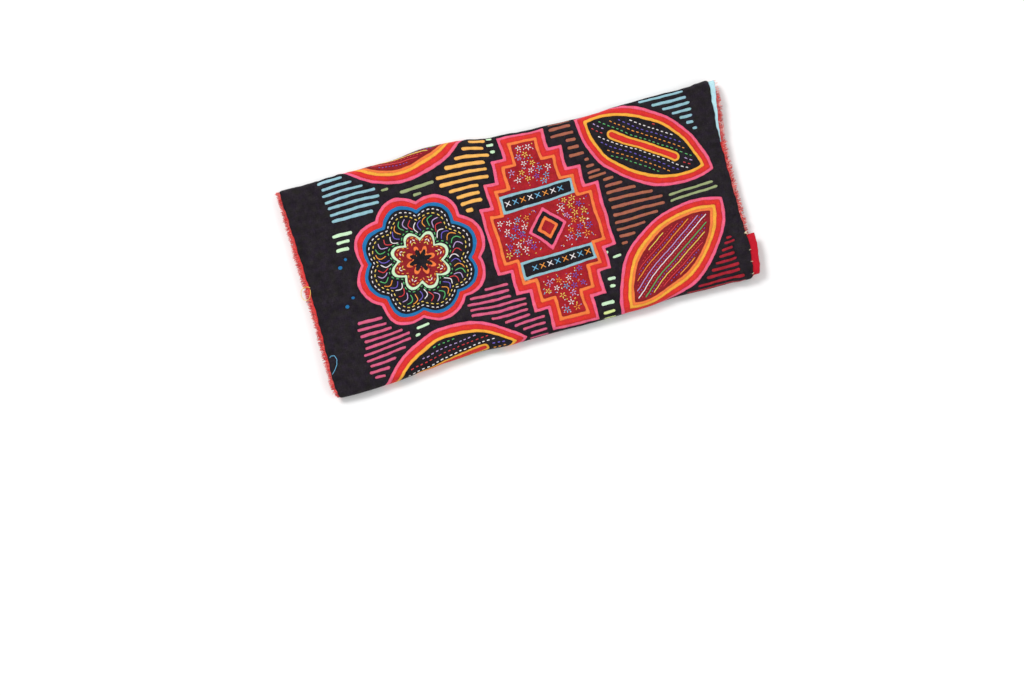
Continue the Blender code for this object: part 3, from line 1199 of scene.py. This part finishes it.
def laid_mesh(name, paths, look, top):
    """Laid threads along paths in the flat, joined."""
    tubes = []
    for path in paths:
        step = unit(np.gradient(path, axis=0))
        taper = np.full(len(path), FINE_RADIUS)
        taper[[0, -1]] *= LAID_TIP
        side = taper[:, None] * np.cos(ROUND_ANGLES)
        lift = taper[:, None] * np.sin(ROUND_ANGLES) + FINE_RADIUS * LAID_LIFT
        lift[[0, -1]] -= FINE_RADIUS * LAID_DIP
        u = (path[:, 0:1] - side * step[:, 1:2]).ravel()
        w = (path[:, 1:2] + side * step[:, 0:1]).ravel()
        tubes.append((face_points(u, w, top + lift.ravel()), pairs(u, w)))
    return join_tubes(name, tubes, SIDES, look)


def read_field(field, u, w):
    """A grid field at any flat place."""
    i, a = between(LINES_U, u)
    j, b = between(LINES_W, w)
    low = field[i, j] * (1 - a) + field[i + 1, j] * a
    high = field[i, j + 1] * (1 - a) + field[i + 1, j + 1] * a
    return low * (1 - b) + high * b


def field_at(field, u, w):
    """A grid field at one flat place."""
    return read_field(field, np.array([u]), np.array([w]))[0]


def threads(words):
    """Names of thread colours."""
    return tuple("thread_" + word for word in words.split())


def polar(centre, reach, angle):
    """Flat places at a distance and an angle from a centre."""
    return pairs(centre[0] + reach * np.cos(angle), centre[1] + reach * np.sin(angle))


STITCHES = {}
DASH = 2.5
DASH_GAP = 1.6
DASH_SHARES = (0.85, 1.15)
GAP_SHARES = (0.85, 1.2)
OFF_LINE = 0.18
THREAD_RADIUS = 0.46
draw = np.random.default_rng(7)


def add_stitch(colour, place, turn, length, radius=THREAD_RADIUS):
    STITCHES.setdefault(colour, []).append((*place, turn, length, radius))


def running(colour, path, allowed, dash=DASH, gap=DASH_GAP, radius=THREAD_RADIUS):
    """A running stitch along a path, wherever the allowed field is negative."""
    path = by_hand(path)
    steps = np.hypot(*np.diff(path, axis=0).T)
    place = np.concatenate([[0.0], np.cumsum(steps)])
    at = draw.uniform(0.0, gap)
    while at + dash < place[-1]:
        long = dash * draw.uniform(*DASH_SHARES)
        u = np.interp([at, at + long], place, path[:, 0])
        w = np.interp([at, at + long], place, path[:, 1])
        if read_field(allowed, u, w).max() < 0.0:
            run_u = u[1] - u[0]
            run_w = w[1] - w[0]
            middle = (u.sum() / 2, w.sum() / 2 + draw.uniform(-OFF_LINE, OFF_LINE))
            add_stitch(colour, middle, math.atan2(run_w, run_u), math.hypot(run_u, run_w), radius)
        at += long + gap * draw.uniform(*GAP_SHARES)


ROW_COLOURS = threads("lilac green orange purple white red")
LAID_COLOURS = threads("white lilac orange red yellow green")
BETWEEN_COLOURS = threads("purple red")
LEAF_POINTS = 90
LEAF_ROWS = 8
ROW_PITCH = 3.8
ROW_INSET = 2.0
VEIN_CLEAR = 1.5
LAID_PITCH = 4.2
LAID_INSET = 4.4
FEWEST_POINTS = 6
# dash, gap, radius
BETWEEN_STITCH = (1.5, 1.3, 0.34)
laid = {}
for index, (row, field) in enumerate(zip(LEAVES, leaf_fields)):
    half = leaf_frame(row)[-1]
    s = np.linspace(-half, half, LEAF_POINTS)
    bow = middle_line(row, s)
    if row[6]:
        for k in range(-LEAF_ROWS, LEAF_ROWS + 1):
            t = bow + k * LAID_PITCH
            path = by_hand(from_leaf(row, s, t))
            kept = read_field(field, path[:, 0], path[:, 1]) < -LAID_INSET
            if kept.sum() > FEWEST_POINTS:
                laid.setdefault(LAID_COLOURS[k % len(LAID_COLOURS)], []).append(path[kept])
            path = from_leaf(row, s, t + LAID_PITCH / 2)
            running(BETWEEN_COLOURS[k % 2], path, field + LAID_INSET, *BETWEEN_STITCH)
    else:
        allowed = np.maximum(field + ROW_INSET, VEIN_CLEAR - VEIN_RIM)
        for k in range(-LEAF_ROWS, LEAF_ROWS):
            path = from_leaf(row, s, bow + (k + 0.5) * ROW_PITCH)
            running(ROW_COLOURS[(k + index) % len(ROW_COLOURS)], path, allowed)

# Rows that follow the rosette's petals: distance inside their outline, colour
ROSETTE_ROWS = (
    (2.6, "thread_white"),
    (5.8, "thread_yellow"),
    (19.0, "thread_green"),
    (25.4, "thread_orange"),
)
RING_POINTS = 240
ring_angle = np.linspace(0.0, 2.0 * math.pi, RING_POINTS)
for row, field in zip(ROSETTES, rosette_fields):
    for inset, colour in ROSETTE_ROWS:
        running(colour, polar(row, rosette_radius(ring_angle, row) - inset, ring_angle), field)

# Chevrons up each petal of the heart: distance inside the outline, colour.
# Each is two stitches that lean either way; the more they lean, the wider it is.
CHEVRONS = ((28.6, "thread_white"), (31.0, "thread_yellow"))
CHEVRON_LEAN = 0.7
CHEVRON_WIDE = 1.7
CHEVRON_LONG = 2.6
for row in ROSETTES:
    for k in range(row[3]):
        angle = math.radians(row[5]) + k * 2.0 * math.pi / row[3]
        for inset, colour in CHEVRONS:
            reach = row[2] - inset
            for lean in (-CHEVRON_LEAN, CHEVRON_LEAN):
                place = polar(row, reach, angle + lean * CHEVRON_WIDE / reach)
                add_stitch(colour, by_hand([place])[0], angle - lean, CHEVRON_LONG)

STAR_COLOURS = threads("white white orange yellow purple lilac blue")
STAR_THREADS = 5
STAR_TURN = 1.2
STAR_SIZES = (2.4, 3.0)
# Shares of a star's size: how far out its stitches lie, and their length
STAR_OUT = 0.62
STAR_LONG = 0.8
# Places for stars lie in staggered rows, with specks round each place
STAR_REACH_U = 6
STAR_REACH_W = 12
STAR_PITCH_U = 7.4
STAR_PITCH_W = 6.6
STAR_JITTER = 0.9
STAR_INSET = 3.4
STRIP_CLEAR = 3.2
SPECKS = 3
SPECK_OUT = 4.1
SPECK_ROOM = 1.6
SPECK_TURN = 3.0
SPECK_LONG = 1.3
SPECK_RADIUS = 0.36


def star(centre, size, colour):
    """A small star flower of straight stitches round a gap."""
    start = draw.uniform(0.0, STAR_TURN)
    for k in range(STAR_THREADS):
        turn = start + k * 2.0 * math.pi / STAR_THREADS
        place = polar(centre, size * STAR_OUT, turn)
        add_stitch(colour, place, turn, size * STAR_LONG, FINE_RADIUS)


def star_colour():
    return STAR_COLOURS[draw.integers(len(STAR_COLOURS))]


star_allowed = np.maximum.reduce(
    [STEP + STAR_INSET, STRIP_CLEAR - STRIP_RIM, STRIP_CLEAR - diamonds(DIAMOND_OUT)]
)
for row in STEPPED:
    for i in range(-STAR_REACH_U, STAR_REACH_U + 1):
        for j in range(-STAR_REACH_W, STAR_REACH_W + 1):
            shift = (i + (j % 2) / 2) * STAR_PITCH_U
            u = row[0] + shift + draw.uniform(-STAR_JITTER, STAR_JITTER)
            w = row[1] + j * STAR_PITCH_W + draw.uniform(-STAR_JITTER, STAR_JITTER)
            if field_at(star_allowed, u, w) < 0.0:
                colour = star_colour()
                star((u, w), draw.uniform(*STAR_SIZES), colour)
            for _ in range(SPECKS):
                speck = polar((u, w), SPECK_OUT, draw.uniform(0.0, 2.0 * math.pi))
                colour = star_colour()
                if field_at(star_allowed, *speck) < SPECK_ROOM:
                    turn = draw.uniform(0.0, SPECK_TURN)
                    add_stitch(colour, speck, turn, SPECK_LONG, SPECK_RADIUS)

CROSS_COLOURS = threads("blue orange white")
CROSS_PITCH = 6.4
CROSS_REACH = 8
CROSS_INSET = 3.0
CROSS_SLANT = 0.8
CROSS_LONG = 6.8
for at_u, at_w, half, turn in CROSS_STRIPS:
    lean = math.radians(turn)
    for k in range(-CROSS_REACH, CROSS_REACH + 1):
        place = polar((at_u, at_w), k * CROSS_PITCH, lean)
        if field_at(STRIP_CORE, *place) < -CROSS_INSET:
            colour = CROSS_COLOURS[k % len(CROSS_COLOURS)]
            for slant in (CROSS_SLANT, -CROSS_SLANT):
                add_stitch(colour, place, lean + slant, CROSS_LONG, FINE_RADIUS)

for colour in sorted(STITCHES):
    name = "stitches_" + colour.removeprefix("thread_")
    regions.append(stitch_mesh(name, STITCHES[colour], look_for(colour), STITCH_HEIGHT))

# Laid threads with curled ends, out from the rosette's heart
RAYS = 48
RAY_TURN = 0.1
RAY_POINTS = 14
RAY_IN = 17.0
RAY_OUT = 8.0
RAY_BEND = 0.1
for row in ROSETTES:
    for k in range(RAYS):
        angle = k * 2.0 * math.pi / RAYS + RAY_TURN
        rim = rosette_radius(angle, row)
        share = np.linspace(0.0, 1.0, RAY_POINTS)
        bend = angle + RAY_BEND * np.sin(share * math.pi)
        path = by_hand(polar(row, rim - RAY_IN + share * (RAY_IN - RAY_OUT), bend))
        laid.setdefault(ROW_COLOURS[k % len(ROW_COLOURS)], []).append(path)
for colour in sorted(laid):
    name = "laid_" + colour.removeprefix("thread_")
    regions.append(laid_mesh(name, laid[colour], look_for(colour), LAID_HEIGHT))

# Frayed ends of the lining
FRAY_POINTS = 6
FRAY_RANGE = (-91.0, 98.0)
FRAY_ROOT = 2.8
FRAY_ROOT_LEAST = -0.4
FRAY_REACH = (-1.2, 0.6)
TUFT_REACH = 1.5
FRAY_LEAN = 0.7
FRAY_WAVE = 0.16
FRAY_WAVE_NUMBER = 5.0
FRAY_PHASE = 6.0
FRAY_HEIGHT = 0.5
FRAY_RISE = (-0.9, 0.8)
FRAY_RADII = (0.11, 0.2)
# At the worn top: share of threads gone, mm shorter, share that is pale
WORN_GONE = 0.72
WORN_SHORT = 0.6
WORN_PALE = 0.8


def tuft(v):
    """Threads cling together: 1 in a tuft and 0 between two."""
    return 0.5 + 0.5 * math.sin(v * 0.9 + 2.0 * math.sin(v * 0.23)) * math.sin(v * 0.31 + 1.0)


def fray(name, seed, count, side, colours):
    """Loose threads past the lining's cut end, joined by colour."""
    dice = np.random.default_rng(seed)
    groups = {}
    which = 1 if side < 0 else 2
    for _ in range(count):
        v = dice.uniform(*FRAY_RANGE)
        worn = float(worn_top(v)) if side > 0 else 0.0
        if dice.uniform() < worn * WORN_GONE:
            continue
        end = float(column(CLOTH_ENDS, v, which))
        out = float(column(CLOTH_ENDS, v, which + 2))
        start = max(out - FRAY_ROOT, FRAY_ROOT_LEAST)
        reach = out + dice.uniform(FRAY_REACH[0], FRAY_REACH[1] + TUFT_REACH * tuft(v)) - worn * WORN_SHORT
        share = np.linspace(0.0, 1.0, FRAY_POINTS)
        u = end + side * (start + share * (reach - start))
        lean, curl = dice.normal(0.0, FRAY_LEAN, 2)
        bent = v + lean * share + curl * share ** 2
        bent = bent + FRAY_WAVE * np.sin(share * FRAY_WAVE_NUMBER + dice.uniform(0.0, FRAY_PHASE))
        height = FRAY_HEIGHT + share * dice.uniform(*FRAY_RISE)
        colour = colours[dice.integers(len(colours))]
        if dice.uniform() < worn * WORN_PALE:
            colour = "thread_blush"
        groups.setdefault(colour, []).append((u, bent, height, dice.uniform(*FRAY_RADII)))
    return [strand_mesh(name + "_" + colour, groups[colour], look_for(colour)) for colour in sorted(groups)]


def strand_mesh(name, strands, look, sides=4):
    """Free threads given by u, v and offset along each, and a radius."""
    angle = np.arange(sides) * 2.0 * math.pi / sides
    tubes = []
    for u, v, offset, radius in strands:
        line = surface(u, v, offset)
        run = unit(np.gradient(line, axis=0))
        side = unit(np.cross(run, (0.0, 0.0, 1.0)))
        top = np.cross(side, run)
        thick = np.full((len(u), 1, 1), radius)
        thick[-1] /= 2
        across = np.cos(angle)[:, None] * side[:, None] + np.sin(angle)[:, None] * top[:, None]
        flat = np.repeat(pairs(u, v), sides, axis=0)
        tubes.append(((line[:, None] + thick * across).reshape(-1, 3), flat))
    return join_tubes(name, tubes, sides, look)


LEFT_FRAY = ("lining",) * 3 + threads("salmon salmon salmon red deep")
RIGHT_FRAY = ("lining",) + threads("salmon salmon red deep blush")
fraying = fray("fray_left", 21, 1500, -1, LEFT_FRAY)
fraying += fray("fray_right", 22, 1150, 1, RIGHT_FRAY)

# Loose ends of thread: colour, radius, points as u, v and offset from the lining's middle
LOOSE_ENDS = (
    ("thread_yellow", 0.24, (
        (-176.0, 3.0, 0.9), (-178.5, 5.6, 2.0), (-182.2, 6.4, 2.4), (-185.4, 4.0, 1.4),
        (-186.6, -0.4, 0.2), (-185.2, -4.6, -0.4), (-181.8, -6.2, 0.4), (-179.0, -4.0, 1.2),
        (-177.6, 0.4, 1.2), (-177.2, 4.4, 1.0),
    )),
    ("thread_blue", 0.26, (
        (-177.8, -56.0, 1.0), (-175.6, -53.4, 2.6), (-172.2, -54.2, 3.2), (-170.8, -58.0, 3.0),
        (-172.4, -62.4, 2.7), (-175.2, -66.0, 2.4), (-178.4, -68.6, 1.2),
    )),
    ("thread_white", 0.2, (
        (180.6, 52.0, 1.0), (183.6, 50.6, 1.4), (186.2, 47.6, 1.2), (186.4, 43.4, 0.6),
        (184.4, 40.6, 0.2),
    )),
)
LOOSE_STEPS = 8
ROUNDINGS = 2
LOOSE_SIDES = 6
for index, (colour, radius, knots) in enumerate(LOOSE_ENDS):
    last = len(knots) - 1.0
    fine = np.linspace(0.0, last, (len(knots) - 1) * LOOSE_STEPS + 1)
    eased = np.array(knots)
    for _ in range(ROUNDINGS):
        inner = (eased[:-1] + eased[1:]) / 2
        eased = np.concatenate([eased[:1], inner, eased[-1:]])
    place = np.linspace(0.0, last, len(eased))
    line = [np.interp(fine, place, eased[:, k]) for k in range(3)]
    name = "loose_end_" + str(index + 1)
    fraying.append(strand_mesh(name, [(*line, radius)], look_for(colour), LOOSE_SIDES))

# Tacks over the face's end that hold the red strip: v, lean along v, radius
TACKS = (
    (-50.6, 1.6, 0.5),
    (-52.0, -1.5, 0.46),
    (-66.5, 0.5, 0.22),
    (-76.5, -0.3, 0.22),
    (-84.6, 0.3, 0.22),
)
# Each tack: out from the face's end, offset from the lining's middle
TACK_LINE = ((-1.1, 3.2), (-0.6, 3.5), (0.1, 3.4), (0.6, 2.7), (0.9, 1.8))
tack_lines = []
for at_v, lean, radius in TACKS:
    out, up = np.array(TACK_LINE).T
    tack_v = at_v + lean * np.linspace(-0.5, 0.5, len(TACK_LINE))
    tack_lines.append((column(CLOTH_ENDS, at_v, 2) + out, tack_v, up, radius))
fraying.append(strand_mesh("tacks", tack_lines, look_for("thread_cream"), LOOSE_SIDES))

# Floor, light and camera
FLOOR_HALF = 6.0
FLOOR_DROP = 0.0002
FLOOR_TONE = 0.9
WORLD_LIGHT = 0.626
floor_mesh = bpy.data.meshes.new("floor")
corners = [(x * FLOOR_HALF, y * FLOOR_HALF, 0.0) for x, y in ((-1, -1), (1, -1), (1, 1), (-1, 1))]
floor_mesh.from_pydata(corners, [], [(0, 1, 2, 3)])
floor = add_object("floor", floor_mesh)
floor.location.z = -FLOOR_DROP
floor_look = bpy.data.materials.new("floor")
floor_look.use_nodes = True
floor_paint = {"Base Color": (FLOOR_TONE, FLOOR_TONE, FLOOR_TONE, 1.0), "Roughness": 0.9}
settle(floor_look.node_tree.nodes["Principled BSDF"], floor_paint)
floor_mesh.materials.append(floor_look)

world = bpy.data.worlds.new("studio")
world.use_nodes = True
sky = {"Color": (1.0, 1.0, 1.0, 1.0), "Strength": WORLD_LIGHT}
settle(world.node_tree.nodes["Background"], sky)
bpy.context.scene.world = world
bpy.context.scene.view_settings.view_transform = "Standard"

# name, place, size, power in watts
LIGHTS = (
    ("key", (-0.9, 1.1, 1.7), 0.8, 31.3),
    ("fill", (1.2, -1.0, 1.5), 1.6, 10.8),
)
for name, place, size, power in LIGHTS:
    lamp = bpy.data.lights.new(name, "AREA")
    lamp.size = size
    lamp.energy = power
    thing = add_object(name, lamp)
    thing.location = place
    thing.rotation_euler = (-Vector(place)).to_track_quat("-Z", "Y").to_euler()

# The camera looks down steeply, turned so that the panel rises to the right.
CAMERA_TURN = -16.05
CAMERA_UP = 77.0
CAMERA_AWAY = 1.61
LENS = 70.0
PANEL_CENTRE_AT = (-33.3, -87.5)
aim = Vector((PANEL_CENTRE_AT[0] * MM, PANEL_CENTRE_AT[1] * MM, 0.0))
turn = math.radians(CAMERA_TURN)
up = math.radians(CAMERA_UP)
back = Vector((math.sin(turn) * math.cos(up), -math.cos(turn) * math.cos(up), math.sin(up)))
camera_data = bpy.data.cameras.new("camera")
camera_data.lens = LENS
camera = add_object("camera", camera_data)
camera.location = aim + back * CAMERA_AWAY
camera.rotation_euler = back.to_track_quat("Z", "Y").to_euler()
bpy.context.scene.camera = camera
